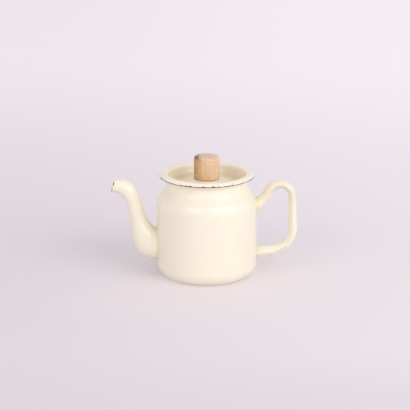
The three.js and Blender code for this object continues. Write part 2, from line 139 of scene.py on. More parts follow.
# Knob and its fastening
KNOB_CROWN = 0.25 * MM
KNOB_FOOT_ROUND = 1.3 * MM
KNOB_TOP_ROUND = 2.3 * MM
SEAL_CHAMFER = 0.2 * MM
WASHER_CHAMFER = 0.12 * MM
SHANK_R = 2 * MM
THREAD_DEPTH = 0.35 * MM
THREAD_PITCH = 0.7 * MM
PLAIN_SHANK = 3.2 * MM
HEAD_ROUND = 0.8 * MM
HEAD_RIM = 0.1 * MM
SLOT_CUTTER = (12 * MM, 1 * MM, 1.8 * MM)
INSERT_BORE_R = 2.1 * MM
INSERT_R = 3 * MM
INSERT_FLANGE = 0.8 * MM
INSERT_PITCH = 1.6 * MM
GROOVE_DEPTH = 0.3 * MM
GROOVE_SLOPE = 0.2 * MM

# Fineness
AROUND = 144
KNOB_AROUND = 96
SMALL_AROUND = 72
INSERT_AROUND = 48
HOLE_SIDES = 24
FINE_STEP = math.radians(5)
ARC_STEP = math.radians(12)
ROUNDING = 1e-6
FILLET_STEPS = 5
LIP_STEPS = 6
BARREL_STEPS = 10
CRISP = math.radians(35)
RIDGE_CRISP = math.radians(24)
MERGE = 0.002 * MM

# How far a tube's end is held off the wall before it is set down, and how long the cutters are
HELD_OFF = 2 * MM
STRAINER_CUTTER = 10 * MM
VENT_CUTTER = 12 * MM

# Stage
FLOOR_SIZE = 30
SENSOR = 36
FOCAL_PIXELS = 1500
PHOTO_PIXELS = 410
CAMERA_PLACE = (0, -1.4343, 0.4893)
CAMERA_DIP = math.radians(16.25)
CAMERA_YAW = math.radians(0.07)
LAMP_TARGET = Vector((0, 0, 0.06))
LAMP_DISTANCE = 3.0
WINDOW_WAY = (0.72, -0.69, 0.0)
WINDOW_FACING = (0.1, 1.0)
CEILING_START = (0.0, 0.7)


def clear_selection():
    bpy.ops.object.select_all(action="DESELECT")


def run(length):
    """A straight leg of an outline."""
    return (length, 0.0, 0.0)


def bend(turn, radius):
    """A leg that turns to the left by an angle, on an arc of a radius."""
    return (abs(turn) * radius, turn, radius)


def walk(start, heading, legs, step=FINE_STEP, aside=0.0):
    """Points and headings along a chain of legs, moved aside to the left of the way."""
    x, y = start
    along = 0.0
    marks = [(x, y, heading, along)]
    for length, turn, radius in legs:
        steps = max(1, math.ceil(abs(turn) / step - ROUNDING))
        chord = 2 * radius * math.sin(abs(turn) / steps / 2) if turn else length
        for _ in range(steps):
            heading += turn / steps / 2
            x += chord * math.cos(heading)
            y += chord * math.sin(heading)
            heading += turn / steps / 2
            along += length / steps
            marks.append((x, y, heading, along))
    return [(x - aside * math.sin(h), y + aside * math.cos(h), h, s) for x, y, h, s in marks]


def arc(centre, radius, start, end):
    """Points of an arc, both ends included."""
    steps = math.ceil(abs(end - start) / ARC_STEP)
    angles = [start + (end - start) * i / steps for i in range(steps + 1)]
    return [(centre[0] + radius * math.cos(a), centre[1] + radius * math.sin(a)) for a in angles]


def catmull(values, share):
    """A smooth value at a share of the way along a row of values or points."""
    place = share * (len(values) - 1)
    i = min(int(place), len(values) - 2)
    t = place - i
    a, b, c, d = (values[max(0, min(len(values) - 1, i + k))] for k in (-1, 0, 1, 2))
    curve = 2 * b + (c - a) * t + (2 * a - 5 * b + 4 * c - d) * t * t
    return (curve + (3 * b - a - 3 * c + d) * t * t * t) / 2


def finished(name):
    """Names the piece at hand, applies its place to its mesh and smooths its shading."""
    piece = bpy.context.object
    piece.name = name
    piece.data.name = name
    bpy.ops.object.transform_apply(location=True, rotation=True, scale=True)
    bpy.ops.object.shade_smooth()
    return piece


def draw_line(points):
    """Draws a line from point to point and leaves it selected in edit mode."""
    clear_selection()
    bpy.ops.mesh.primitive_plane_add(size=WALL)
    bpy.ops.object.mode_set(mode="EDIT")
    bpy.ops.mesh.merge(type="CENTER")
    bpy.ops.transform.translate(value=points[0])
    for last, point in zip(points, points[1:]):
        bpy.ops.mesh.extrude_region_move(TRANSFORM_OT_translate={"value": point - last})
    bpy.ops.mesh.select_all(action="SELECT")
    bpy.ops.mesh.remove_doubles(threshold=MERGE)


def revolved(name, outline, around=AROUND):
    """Draws an outline of radius and height from one corner on, and spins it about Z."""
    draw_line([Vector((r, 0, z)) for r, z in outline])
    bpy.ops.mesh.spin(steps=around, angle=2 * math.pi, center=(0, 0, 0), axis=(0, 0, 1))
    bpy.ops.mesh.select_all(action="SELECT")
    bpy.ops.mesh.remove_doubles(threshold=MERGE)
    bpy.ops.mesh.normals_make_consistent(inside=False)
    bpy.ops.object.mode_set(mode="OBJECT")
    return finished(name)


# A ring of a drawn tube. seat is its height over the pot's wall, where it rests on it.
Ring = namedtuple("Ring", "centre lean depth width seat", defaults=(None,))


def lean(angle, centre):
    """Turns the selection about an axis along Y, so that +X swings towards +Z."""
    bpy.ops.transform.rotate(value=angle, orient_axis="Y", center_override=centre)


def drawn_tube(name, rings, section):
    """Draws a tube out ring by ring. section holds its shares of half depth and half width."""
    first = rings[0]
    up = Vector((math.cos(first.lean), 0, math.sin(first.lean)))
    points = []
    for a, b in section:
        points.append(first.centre + up * (first.depth * a) + Vector((0, first.width * b, 0)))
    draw_line(points + points[:1])
    seats = {}
    for last, ring in zip([first] + rings, rings):
        if ring is not first:
            bpy.ops.mesh.extrude_region_move()
            # The new ring inherits the last one's groups.
            if seats:
                bpy.ops.object.vertex_group_remove_from(use_all_groups=True)
            lean(-last.lean, last.centre)
            scale = (ring.depth / last.depth, ring.width / last.width, 1)
            bpy.ops.transform.resize(value=scale, center_override=last.centre)
            bpy.ops.transform.translate(value=ring.centre - last.centre)
            lean(ring.lean, ring.centre)
        if ring.seat is not None:
            bpy.ops.object.vertex_group_assign_new()
            seats[bpy.context.object.vertex_groups.active.name] = (ring.seat, ring.centre.x < 0)
    bpy.ops.mesh.select_all(action="SELECT")
    bpy.ops.mesh.normals_make_consistent(inside=False)
    bpy.ops.object.mode_set(mode="OBJECT")
    return finished(name), seats


def seat_rings(piece, seats, wall):
    """Sets rings down on the wall along X, each at its own height over it."""
    for group, (height, rightwards) in seats.items():
        seat = piece.modifiers.new(group, "SHRINKWRAP")
        seat.target = wall
        seat.vertex_group = group
        seat.wrap_method = "PROJECT"
        seat.wrap_mode = "ABOVE_SURFACE"
        seat.use_project_x = True
        seat.use_positive_direction = rightwards
        seat.use_negative_direction = not rightwards
        seat.offset = height
        bpy.ops.object.modifier_apply(modifier=group)


def fillet(ring):
    """Rings that round the corner between the wall and a tube which leaves it like this ring."""
    rings = []
    for i in range(FILLET_STEPS + 1):
        angle = math.pi / 2 * i / FILLET_STEPS
        more = WELD_ROUND * (1 - math.sin(angle))
        seat = WELD_ROUND * (1 - math.cos(angle))
        rings.append(Ring(ring.centre, ring.lean, ring.depth + more, ring.width + more, seat))
    return rings


def cut_out(piece, cutters):
    """Takes the cutters, which are used up, out of a piece."""
    clear_selection()
    for cutter in cutters:
        cutter.select_set(True)
    bpy.context.view_layer.objects.active = cutters[0]
    if len(cutters) > 1:
        bpy.ops.object.join()
    cutter = bpy.context.object
    clear_selection()
    piece.select_set(True)
    bpy.context.view_layer.objects.active = piece
    hole = piece.modifiers.new("hole", "BOOLEAN")
    hole.operation = "DIFFERENCE"
    hole.solver = "EXACT"
    hole.object = cutter
    bpy.ops.object.modifier_apply(modifier="hole")
    clear_selection()
    cutter.select_set(True)
    bpy.ops.object.delete()
    piece.select_set(True)
    bpy.context.view_layer.objects.active = piece
    bpy.ops.object.mode_set(mode="EDIT")
    bpy.ops.mesh.select_all(action="SELECT")
    bpy.ops.mesh.dissolve_degenerate(threshold=MERGE)
    bpy.ops.object.mode_set(mode="OBJECT")
    bpy.ops.object.shade_smooth_by_angle(angle=CRISP)


def rod(radius, length, centre, rotation=(0, 0, 0)):
    clear_selection()
    bpy.ops.mesh.primitive_cylinder_add(
        vertices=HOLE_SIDES, radius=radius, depth=length, location=centre, rotation=rotation)
    return bpy.context.object


def shoulder_run():
    """Length of the straight cone between the shoulder's bend and the neck's."""
    bends = (SHOULDER_BEND + NECK_BEND) * (1 - math.cos(SHOULDER_TURN))
    return (NECK_DRAW - bends) / math.sin(SHOULDER_TURN)


def neck_top():
    bends = (SHOULDER_BEND + NECK_BEND) * math.sin(SHOULDER_TURN)
    return SHOULDER_Z + bends + shoulder_run() * math.cos(SHOULDER_TURN)


# The mouth bead in section, and the angle below its middle at which the neck's outside meets it
BEAD_CENTRE = (NECK_R - WALL + BEAD, BEAD_TOP - BEAD)
BEAD_FOOT = math.acos((WALL - BEAD) / BEAD)


def shell_legs():
    bead_foot_z = BEAD_CENTRE[1] - BEAD * math.sin(BEAD_FOOT)
    return [
        run(BODY_R - BASE_BEND),
        bend(math.pi / 2, BASE_BEND),
        run(SHOULDER_Z - BASE_BEND),
        bend(SHOULDER_TURN, SHOULDER_BEND),
        run(shoulder_run()),
        bend(-SHOULDER_TURN, NECK_BEND),
        run(bead_foot_z - neck_top()),
    ]


def strainer_holes():
    """Rods for one middle hole and rings of holes about the spout's root."""
    z = spout_ring(SPOUT_ROOT_SHARE).centre.z
    centres = [(0, z)]
    for ring in range(1, STRAINER_RINGS + 1):
        count = ring * STRAINER_RING_HOLES
        for i in range(count):
            angle = 2 * math.pi * i / count
            reach = ring * STRAINER_PITCH
            centres.append((reach * math.cos(angle), z + reach * math.sin(angle)))
    level = (0, math.pi / 2, 0)
    return [rod(STRAINER_HOLE_R, STRAINER_CUTTER, (-BODY_R, y, z), level) for y, z in centres]


def make_shell():
    outside = [(x, y) for x, y, _, _ in walk((0, 0), 0, shell_legs())]
    inside = [(x, y) for x, y, _, _ in walk((0, 0), 0, shell_legs(), aside=WALL)]
    bead = arc(BEAD_CENTRE, BEAD, -BEAD_FOOT, math.pi)
    shell = revolved("pot_shell", outside[:-1] + bead + inside[::-1])
    cut_out(shell, strainer_holes())
    return shell


def spout_edge(reach, rise):
    return Vector((-BODY_R - SPOUT_REACH * reach, 0, SPOUT_FOOT_Z + SPOUT_RISE * rise))


def spout_ring(share):
    """The spout's ring between its throat and its back, at a share of the way to its mouth."""
    throat = catmull([spout_edge(row[0], row[1]) for row in SPOUT_EDGE_SHARES], share)
    back = catmull([spout_edge(row[2], row[3]) for row in SPOUT_EDGE_SHARES], share)
    across = throat - back
    widening = catmull(SPOUT_WIDTH_SHARES, share)
    width = SPOUT_TIP_HALF_WIDTH + (SPOUT_ROOT_HALF_WIDTH - SPOUT_TIP_HALF_WIDTH) * widening
    return Ring((throat + back) / 2, math.atan2(across.z, across.x), across.length / 2, width)


def thinned(ring, inset):
    return ring._replace(depth=ring.depth - inset, width=ring.width - inset)


def spout_root():
    """The spout's ring where it meets the wall, held off the wall to be set down on it."""
    root = spout_ring(SPOUT_ROOT_SHARE)
    centre = Vector((-BODY_R - HELD_OFF, 0, root.centre.z))
    return root._replace(centre=centre, lean=math.pi / 2)


def mouth_forward():
    """The way out of the spout at its mouth."""
    tilt = spout_ring(1).lean
    return Vector((-math.sin(tilt), 0, math.cos(tilt)))


def make_spout(shell):
    """The spout's skin out to its rounded mouth and back inside down to the wall."""
    free = [
        spout_ring(SPOUT_FREE_SHARE + (1 - SPOUT_FREE_SHARE) * i / SPOUT_RINGS)
        for i in range(SPOUT_RINGS + 1)
    ]
    round_r = WALL / 2
    forward = mouth_forward()
    mouth = free[-1]._replace(centre=free[-1].centre - forward * round_r)
    free[-1] = mouth
    lip = []
    for i in range(1, LIP_STEPS):
        angle = math.pi * i / LIP_STEPS
        centre = mouth.centre + forward * (round_r * math.sin(angle))
        lip.append(thinned(mouth, round_r * (1 - math.cos(angle)))._replace(centre=centre))
    inner = [thinned(ring, WALL) for ring in reversed(free)]
    root = spout_root()
    rings = fillet(root) + free + lip + inner + [thinned(root, WALL)._replace(seat=0.0)]
    turns = [2 * math.pi * i / SPOUT_SIDES for i in range(SPOUT_SIDES)]
    spout, seats = drawn_tube("spout", rings, [(math.sin(t), math.cos(t)) for t in turns])
    seat_rings(spout, seats, shell)
    close_ends(bridged=True)
    bpy.ops.object.shade_smooth()
    return spout


def close_ends(bridged):
    """Joins the open ends of the tube at hand, the outer skin's to the inner's, or fills each."""
    bpy.ops.object.mode_set(mode="EDIT")
    bpy.ops.mesh.select_all(action="DESELECT")
    bpy.ops.mesh.select_non_manifold()
    if bridged:
        bpy.ops.mesh.bridge_edge_loops()
    else:
        bpy.ops.mesh.fill_holes(sides=0)
    bpy.ops.mesh.select_all(action="SELECT")
    bpy.ops.mesh.normals_make_consistent(inside=False)
    bpy.ops.object.mode_set(mode="OBJECT")


def handle_legs(grip, foot):
    return [
        bend(HANDLE_SWEEP_TURN, HANDLE_SWEEP_R),
        run(HANDLE_NECK_RUN),
        bend(-HANDLE_CROWN_TURN, HANDLE_CROWN_R),
        bend(-HANDLE_SHOULDER_TURN, HANDLE_SHOULDER_R),
        run(grip),
        bend(-HANDLE_CURL_TURN, HANDLE_CURL_R),
        bend(-HANDLE_HEEL_TURN, HANDLE_HEEL_R),
        run(foot),
    ]


def handle_marks():
    """Middle line of the handle. Its grip and foot run as long as it takes to meet the wall."""
    root = (BODY_R - HANDLE_BURIED, HANDLE_ROOT_Z)
    x, z, back, _ = walk(root, HANDLE_ROOT_RISE, handle_legs(0, 0))[-1]
    down = back + HANDLE_CURL_TURN + HANDLE_HEEL_TURN
    missing_x = BODY_R - HANDLE_BURIED - x
    missing_z = HANDLE_FOOT_Z - z
    spread = math.cos(down) * math.sin(back) - math.sin(down) * math.cos(back)
    grip = (missing_x * math.sin(back) - missing_z * math.cos(back)) / spread
    foot = (missing_z * math.cos(down) - missing_x * math.sin(down)) / spread
    return walk(root, HANDLE_ROOT_RISE, handle_legs(grip, foot))


def handle_rings():
    marks = handle_marks()
    length = marks[-1][3]
    rings = []
    for x, z, heading, along in marks:
        to_end = min(along, length - along)
        flare = HANDLE_FLARE * max(0.0, 1 - to_end / HANDLE_FLARE_LENGTH) ** 2
        depth = HANDLE_HALF_DEPTH * catmull(HANDLE_DEPTH_SHARES, along / length) + flare
        width = HANDLE_HALF_WIDTH + flare
        rings.append(Ring(Vector((x, 0, z)), heading + math.pi / 2, depth, width))
    return rings


def handle_end(ring):
    """The ring where the handle meets the wall, held off the wall to be set down on it."""
    slope = math.sin(ring.lean)
    rise = (BODY_R - ring.centre.x) * -math.cos(ring.lean) / slope
    centre = Vector((BODY_R + HELD_OFF, 0, ring.centre.z + rise))
    upright = math.copysign(math.pi / 2, slope)
    return ring._replace(centre=centre, lean=upright, depth=ring.depth / abs(slope))


def make_handle(shell):
    """Two channels that meet in a ridge along each side, set down on the wall at both ends."""
    rings = handle_rings()
    clear_x = BODY_R + WELD_ROUND + HANDLE_CLEAR
    free = []
    for ring in rings:
        if ring.centre.x - ring.depth * abs(math.cos(ring.lean)) > clear_x:
            free.append(ring)
    root = fillet(handle_end(rings[0]))
    foot = fillet(handle_end(rings[-1]))
    section = []
    for i in range(HANDLE_SIDES):
        t = 2 * math.pi * i / HANDLE_SIDES
        peak = abs(math.sin(t)) ** HANDLE_PEAK_POWER
        section.append((math.copysign(peak, math.sin(t)), math.cos(t)))
    handle, seats = drawn_tube("handle", root + free + foot[::-1], section)
    seat_rings(handle, seats, shell)
    close_ends(bridged=False)
    bpy.ops.object.shade_smooth_by_angle(angle=RIDGE_CRISP)
    return handle


def lid_legs():
    """Upper line of the lid from the screw hole to the brim."""
    wall = math.pi / 2 - WELL_TAPER
    crest = BEAD + SEAT_GAP + WALL
    floor_z = crest - WELL_DEPTH
    seat_z = floor_z + KNOB_SEAT_RISE
    crest_x = BEAD_CENTRE[0] - crest * math.sin(wall)
    crest_z = crest * math.cos(wall)
    bend_z = floor_z + WELL_BEND
    wall_run = (crest_z + WELL_BEND * math.cos(wall) - bend_z) / math.sin(wall)
    bend_x = crest_x - wall_run * math.cos(wall) - WELL_BEND * math.sin(wall)
    across = Vector((bend_x - KNOB_SEAT_R, bend_z - seat_z + KNOB_SEAT_BEND))
    radii = KNOB_SEAT_BEND + WELL_BEND
    fall = math.asin(radii / across.length) - math.atan2(across.y, across.x)
    legs = [
        run(KNOB_SEAT_R - SCREW_HOLE_R),
        bend(-fall, KNOB_SEAT_BEND),
        run(math.sqrt(across.length_squared - radii ** 2)),
        bend(fall + wall, WELL_BEND),
        run(wall_run),
        bend(-wall, crest),
        bend(-BRIM_TURN, (BRIM_R - BEAD_CENTRE[0]) / math.sin(BRIM_TURN)),
    ]
    return (SCREW_HOLE_R, BEAD_CENTRE[1] + seat_z), legs


def vent_r(start, legs):
    """The vent's distance from the middle, on the falling floor behind the knob."""
    wall_bend = walk(start, 0, legs[:4], step=math.pi)[-2]
    centre_x = wall_bend[0] - WELL_BEND * math.sin(wall_bend[2])
    return KNOB_SEAT_R + (centre_x - KNOB_SEAT_R) * VENT_SHARE


def make_lid():
    start, legs = lid_legs()
    top = [(x, y) for x, y, _, _ in walk(start, 0, legs)]
    under = [(x, y) for x, y, _, _ in walk(start, 0, legs, aside=-WALL)]
    middle = walk(start, 0, legs, aside=-WALL / 2)[-1]
    edge = arc(middle[:2], WALL / 2, math.pi / 2 - BRIM_TURN, -math.pi / 2 - BRIM_TURN)
    lid = revolved("lid", top + edge[1:-1] + under[::-1] + [top[0]])
    vent_place = (0, vent_r(start, legs), start[1] - KNOB_SEAT_RISE / 2)
    cut_out(lid, [rod(VENT_R, VENT_CUTTER, vent_place)])
    return lid


def make_knob():
    side = KNOB_R - KNOB_CROWN
    mid = (KNOB_FOOT + KNOB_TOP) / 2
    half = (KNOB_TOP - KNOB_FOOT) / 2
    foot_centre = (side - KNOB_FOOT_ROUND, KNOB_FOOT + KNOB_FOOT_ROUND)
    top_centre = (side - KNOB_TOP_ROUND, KNOB_TOP - KNOB_TOP_ROUND)
    foot = arc(foot_centre, KNOB_FOOT_ROUND, -math.pi / 2, 0)
    top = arc(top_centre, KNOB_TOP_ROUND, 0, math.pi / 2)
    barrel = []
    for i in range(1, BARREL_STEPS):
        z = foot[-1][1] + (top[0][1] - foot[-1][1]) * i / BARREL_STEPS
        barrel.append((side + KNOB_CROWN * (1 - ((z - mid) / half) ** 2), z))
    outline = [(0, KNOB_FOOT)] + foot + barrel + top + [(0, KNOB_TOP)]
    return revolved("wood_knob", outline, KNOB_AROUND)


def make_washer(name, node, chamfer):
    low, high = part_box(node)
    inner, outer = SCREW_HOLE_R, high.x
    return revolved(name, [
        (inner, low.z),
        (outer - chamfer, low.z),
        (outer, low.z + chamfer),
        (outer, high.z - chamfer),
        (outer - chamfer, high.z),
        (inner, high.z),
        (inner, low.z),
    ], SMALL_AROUND)


def make_screw():
    """Slotted screw, its head down."""
    low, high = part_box("knob_screw")
    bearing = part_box("screw_washer")[0].z
    head_centre = (high.x - HEAD_ROUND, low.z + HEAD_ROUND)
    outline = [(0, low.z)] + arc(head_centre, HEAD_ROUND, -math.pi / 2, 0)
    outline += [(high.x, bearing - HEAD_RIM), (high.x - HEAD_RIM, bearing), (SHANK_R, bearing)]
    z = bearing + PLAIN_SHANK
    while z + THREAD_PITCH < high.z:
        outline += [(SHANK_R, z), (SHANK_R - THREAD_DEPTH, z + THREAD_PITCH / 2)]
        z += THREAD_PITCH
    outline += [(SHANK_R, z), (SHANK_R - THREAD_DEPTH, high.z), (0, high.z)]
    screw = revolved("screw", outline, SMALL_AROUND)
    clear_selection()
    bpy.ops.mesh.primitive_cube_add(size=1, location=(0, 0, low.z))
    bpy.ops.transform.resize(value=SLOT_CUTTER)
    cut_out(screw, [bpy.context.object])
    return screw


def make_insert():
    """Threaded insert in the knob: a flange and a barrel with raised rings that bite the wood."""
    low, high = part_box("knob_insert")
    flange_z = low.z + INSERT_FLANGE
    groove_r = INSERT_R - GROOVE_DEPTH
    outline = [(INSERT_BORE_R, low.z), (high.x, low.z), (high.x, flange_z), (INSERT_R, flange_z)]
    z = low.z + INSERT_PITCH
    while z + INSERT_PITCH < high.z:
        middle = z + INSERT_PITCH / 2
        outline += [(INSERT_R, z), (groove_r, z + GROOVE_SLOPE)]
        outline += [(groove_r, middle), (INSERT_R, middle + GROOVE_SLOPE)]
        z += INSERT_PITCH
    outline += [(INSERT_R, high.z), (INSERT_BORE_R, high.z), (INSERT_BORE_R, low.z)]
    insert = revolved("insert", outline, INSERT_AROUND)
    bpy.ops.object.shade_smooth_by_angle(angle=CRISP)
    return insert


def make_stage():
    bpy.ops.mesh.primitive_plane_add(size=FLOOR_SIZE)
    floor = finished("floor")
    return floor


def make_camera():
    """The camera stands a metre and a half off and a little above the pot."""
    camera = bpy.data.cameras.new("camera")
    view = bpy.data.objects.new("camera", camera)
    bpy.context.collection.objects.link(view)
    camera.sensor_width = SENSOR
    camera.lens = SENSOR * FOCAL_PIXELS / PHOTO_PIXELS
    view.location = CAMERA_PLACE
    view.rotation_euler = (math.pi / 2 - CAMERA_DIP, 0, CAMERA_YAW)
    camera.clip_start = 0.05
    camera.clip_end = 100
    bpy.context.scene.camera = view


def make_lamp(name, azimuth, elevation, width, height, power):
    """A softbox aimed at the middle of the pot. Azimuth 0 is at the camera, more to its right."""
    lamp = bpy.data.lights.new(name, "AREA")
    lamp.shape = "RECTANGLE"
    lamp.size = width
    lamp.size_y = height
    lamp.energy = power
    box = bpy.data.objects.new(name, lamp)
    bpy.context.collection.objects.link(box)
    a = math.radians(azimuth)
    e = math.radians(elevation)
    way = Vector((math.sin(a) * math.cos(e), -math.cos(a) * math.cos(e), math.sin(e)))
    box.location = LAMP_TARGET + way * LAMP_DISTANCE
    box.rotation_euler = way.to_track_quat("Z", "Y").to_euler()


class Wire:
    """A socket in a shader's sums. Each operator adds its Math node."""

    def __init__(self, nodes, socket):
        self.nodes = nodes
        self.socket = socket

    def math(self, operation, *others):
        sockets = dict(enumerate((self, *others)))
        return self.nodes.node("ShaderNodeMath", {"operation": operation}, sockets)

    def __add__(self, other):
        return self.math("ADD", other)

    def __sub__(self, other):
        return self.math("SUBTRACT", other)

    def __mul__(self, other):
        return self.math("MULTIPLY", other)

    def __rsub__(self, other):
        return self.nodes.number(other).math("SUBTRACT", self)

    def __neg__(self):
        return self * -1


class Nodes:
    """A node tree and the sums that are added to it."""

    def __init__(self, tree):
        self.tree = tree

    def node(self, kind, settings=None, sockets=None, output=0):
        made = self.tree.nodes.new(kind)
        for setting, value in (settings or {}).items():
            setattr(made, setting, value)
        for key, value in (sockets or {}).items():
            self.feed(made.inputs[key], value)
        return Wire(self, made.outputs[output])

    def feed(self, socket, value):
        if isinstance(value, Wire):
            self.tree.links.new(value.socket, socket)
        elif socket.type == "RGBA":
            socket.default_value = (*value, 1)
        else:
            socket.default_value = value

    def number(self, value):
        return self.node("ShaderNodeMath", {"operation": "ADD"}, {0: value, 1: 0.0})

    def place(self):
        return self.node("ShaderNodeTexCoord", output="Object")

    def axis(self, place, name):
        return self.node("ShaderNodeSeparateXYZ", None, {0: place}, output=name)

    def radius(self, place):
        """Distance from the body's axis."""
        x = self.axis(place, "X")
        y = self.axis(place, "Y")
        return (x * x + y * y).math("SQRT")

    def vector(self, operation, first, second, output="Vector"):
        settings = {"operation": operation}
        return self.node("ShaderNodeVectorMath", settings, {0: first, 1: second}, output)

    def stretched(self, place, scale):
        return self.node("ShaderNodeMapping", None, {"Vector": place, "Scale": scale})

    def noise(self, place, size, detail, rough):
        sockets = {"Vector": place, "Scale": 1 / size, "Detail": detail, "Roughness": rough}
        return self.node("ShaderNodeTexNoise", None, sockets)

    def between(self, value, low, high):
        """0 at or below low, 1 at or above high, smooth between."""
        sockets = {"Value": value, "From Min": low, "From Max": high}
        return self.node("ShaderNodeMapRange", {"interpolation_type": "SMOOTHSTEP"}, sockets)

    def band(self, value, start, full, fade, end):
        return self.between(value, start, full) * (1 - self.between(value, fade, end))

    def mix(self, share, first, second):
        settings = {"data_type": "RGBA"}
        return self.node("ShaderNodeMix", settings, {0: share, 6: first, 7: second}, output=2)


class Paint(Nodes):
    """One material and its surface shader."""

    def __init__(self, name, constants):
        self.material = bpy.data.materials.new(name)
        self.material.use_nodes = True
        super().__init__(self.material.node_tree)
        self.shader = self.tree.nodes["Principled BSDF"]
        for socket, value in constants.items():
            self.shader.inputs[socket].default_value = value

    def cover(self, colour, roughness):
        self.feed(self.shader.inputs["Base Color"], colour)
        self.feed(self.shader.inputs["Roughness"], roughness)

    def bump(self, height, distance, strength):
        sockets = {"Height": height, "Distance": distance, "Strength": strength}
        self.feed(self.shader.inputs["Normal"], self.node("ShaderNodeBump", None, sockets))

    def dress(self, piece):
        piece.data.materials.clear()
        piece.data.materials.append(self.material)


CREAM = (0.895, 0.848, 0.70)
CREAM_DEEP = (0.875, 0.81, 0.645)
# Painted shade: the darker yellow cream in the corners where the spout and the handle meet the
# wall
CREAM_CORNER_SHADE = (0.80, 0.69, 0.42)
# Painted shade: the deeper cream of the lid's well and the darker cream of its trough
CREAM_WELL_SHADE = (0.82, 0.70, 0.465)
CREAM_TROUGH_SHADE = (0.78, 0.65, 0.41)
# Painted shade: the darker cream over the top of the handle's arch
CREAM_ARCH_SHADE = (0.80, 0.70, 0.55)
# Painted light: the paler cream on the neck under the brim and on the lid's brim towards the front
CREAM_LIT = (0.97, 0.90, 0.745)
CHIPPED = (0.07, 0.035, 0.017)
SCUFFED = (0.42, 0.39, 0.35)
WOOD = (0.80, 0.58, 0.375)
WOOD_GRAIN = (0.655, 0.425, 0.235)
WOOD_END = (0.72, 0.59, 0.45)
# Painted shade on the knob's left side, with some browning from handling, and painted light on its
# right side
WOOD_LEFT_SHADE = (0.47, 0.265, 0.105)
WOOD_RIGHT_LIGHT = (0.83, 0.64, 0.445)
WOOD_STAIN = (0.13, 0.06, 0.022)
WOOD_PORE = (0.34, 0.2, 0.1)
# Painted shadow at the knob's foot, where it stands on the lid
WOOD_FOOT_SHADOW = (0.14, 0.085, 0.05)
BRASS = (0.78, 0.58, 0.27)
BRASS_WORN = (0.6, 0.42, 0.2)
STEEL = (0.62, 0.62, 0.61)
STEEL_WORN = (0.5, 0.49, 0.47)
SILICONE = (0.80, 0.79, 0.75)
SILICONE_DUST = (0.66, 0.63, 0.57)
WALL_LIGHT = (0.87, 0.83, 0.825)
WINDOW_LIGHT = (1.28, 1.24, 1.28)
CEILING_LIGHT = (0.66, 0.63, 0.655)
# Painted shade: the paper darker on the left, and a darker mottle that also paints shade towards
# the front
FLOOR_LEFT_SHADE = (0.78, 0.733, 0.776)
FLOOR_RIGHT = (0.88, 0.845, 0.875)
FLOOR_MOTTLE_AND_FRONT_SHADE = (0.74, 0.70, 0.73)
# Painted light on the paper before the pot
FLOOR_PAINTED_LIGHT = (0.93, 0.83, 0.80)
BACKDROP_LEFT = (0.91, 0.835, 0.885)
BACKDROP_RIGHT = (0.945, 0.885, 0.935)

# Sizes of the patterns in the enamel, and depths of its relief and chips
CLOUD_SIZE = 22 * MM
SPECK_SIZE = 1.1 * MM
GLOSS_SIZE = 6 * MM
PEEL_SIZE = 4 * MM
PEEL_DEPTH = 0.05 * MM
CHIP_DEPTH = 0.15 * MM
BITE_SIZE = 6 * MM
BITE_DEPTH = 0.9 * MM
NIBBLE_SIZE = 1.1 * MM
NIBBLE_DEPTH = 0.5 * MM
WEAR_SIZE = 5 * MM
DASH_SIZE = 2.6 * MM
SCUFF_SIZE = 2.5 * MM
RAGGED_SIZE = 1.5 * MM
RAGGED_DEPTH = 0.5 * MM
MOUTH_LINE_DEPTH = 0.35 * MM
MOUTH_CHIP_DEPTH = 0.9 * MM
SEAM_BREAK_SIZE = 2.2 * MM

# Where the enamel's looks change. A pair holds where a change starts and where it is complete.
# Painted shade in the corners where the spout and the handle meet the wall
CORNER_FADE_R = (BODY_R + 0.1 * MM, BODY_R + 3.6 * MM)
# Painted shade over the top of the handle's arch
ARCH_SHADE_Z = (62 * MM, 92 * MM)
# Painted light over the neck under the brim
LIT_NECK_Z = (SHOULDER_Z + 14 * MM, neck_top() + 1 * MM)
SCUFF_FADE_Z = (0.05 * MM, 0.5 * MM)
SCUFF_R = (BODY_R - BASE_BEND - 2 * MM, BODY_R - BASE_BEND)
WELL_FLOOR_Z = KNOB_FOOT - KNOB_SEAT_RISE
# Painted shade in the lid's well, lighter at its top and at its back beside the knob as a painted
# reflection
WELL_FADE_R = (BEAD_CENTRE[0] - 9 * MM, BEAD_CENTRE[0] - 0.5 * MM)
WELL_SIDE_X = (14 * MM, 25 * MM)
WELL_HIGH_Z = (WELL_FLOOR_Z + 3.5 * MM, WELL_FLOOR_Z + WELL_DEPTH)
TROUGH_FADE_Z = (WELL_FLOOR_Z, WELL_FLOOR_Z + 5 * MM)
# Painted light on the lid's brim towards the front
BRIM_FRONT_LIGHT_Y = (5 * MM, 40 * MM)
BRIM_BARE = (0.35 * MM, 0.45 * MM)
MOUTH_BARE = (0.12 * MM, 0.3 * MM)
MOUTH_LINE_FULL = 1.5 * MM
MOUTH_LINE_GONE = 0.3 * MM
SEAM_RIDGE_Y = (HANDLE_HALF_WIDTH - 0.13 * MM, HANDLE_HALF_WIDTH - 0.05 * MM)
SEAM_FADE_Z = (29.5 * MM, 31 * MM)
SEAM_X = (68.5 * MM, 70 * MM)

# Bands: where one starts, is full, starts to fade and is gone
DASH_BAND = (-1.9 * MM, -1.5 * MM, -1.1 * MM, -0.8 * MM)
MOUTH_CHIP_BAND_Z = (92.9 * MM, 93.4 * MM, 95.2 * MM, 95.8 * MM)

# The same for the wood of the knob
GRAIN_SIZE = 3.4 * MM
FINE_GRAIN_SIZE = 0.6 * MM
GRAIN_DEPTH = 0.1 * MM
PORE_SIZE = 0.8 * MM
STAIN_SIZE = 2.4 * MM
